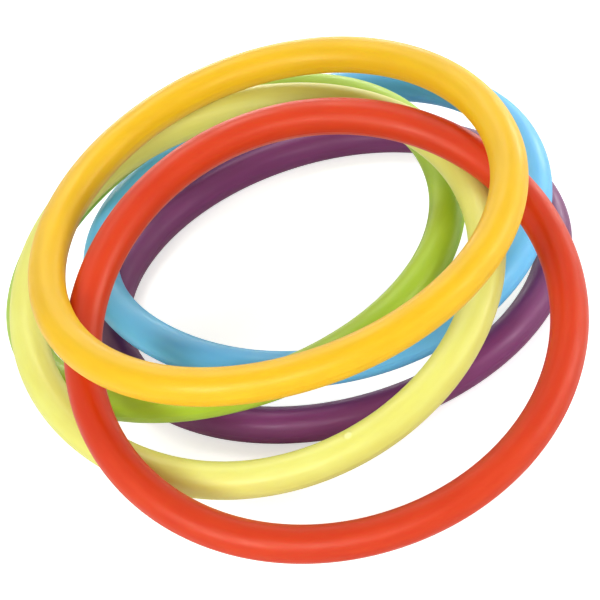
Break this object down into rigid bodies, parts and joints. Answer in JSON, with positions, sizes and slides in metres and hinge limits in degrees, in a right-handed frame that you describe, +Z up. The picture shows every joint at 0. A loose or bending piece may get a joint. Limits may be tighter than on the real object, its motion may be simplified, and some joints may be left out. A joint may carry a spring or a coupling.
{
  "type": "ring toss set",
  "caption": "Loose pile of solid round-section toss rings of soft rubber, each a different colour and free to lift off the ones below.",
  "frame": {"origin": "centre of the purple ring at ground level", "axes": "+Z up, +X to the right and +Y away as the pile is seen from the front"},
  "size_m": [0.22, 0.2479, 0.0832],
  "materials": {
    "purple_rubber": "smooth satin moulded rubber",
    "blue_rubber": "smooth satin moulded rubber",
    "green_rubber": "smooth satin moulded rubber",
    "yellow_rubber": "smooth satin moulded rubber",
    "red_rubber": "smooth satin moulded rubber",
    "orange_rubber": "smooth satin moulded rubber"
  },
  "bodies": {
    "purple_ring": {"purple_ring": "purple_rubber"},
    "blue_ring": {"blue_ring": "blue_rubber"},
    "green_ring": {"green_ring": "green_rubber"},
    "yellow_ring": {"yellow_ring": "yellow_rubber"},
    "red_ring": {"red_ring": "red_rubber"},
    "orange_ring": {"orange_ring": "orange_rubber"}
  },
  "joints": [
    {"name": "blue_lift", "type": "slide", "parent": "purple_ring", "child": "blue_ring", "axis": [0, 0, 1], "range_m": [0, 0.1]},
    {"name": "green_lift", "type": "slide", "parent": "blue_ring", "child": "green_ring", "axis": [0, 0, 1], "range_m": [0, 0.1]},
    {"name": "yellow_lift", "type": "slide", "parent": "green_ring", "child": "yellow_ring", "axis": [0, 0, 1], "range_m": [0, 0.1]},
    {"name": "red_lift", "type": "slide", "parent": "yellow_ring", "child": "red_ring", "axis": [0, 0, 1], "range_m": [0, 0.1]},
    {"name": "orange_lift", "type": "slide", "parent": "red_ring", "child": "orange_ring", "axis": [0, 0, 1], "range_m": [0, 0.1]}
  ]
}
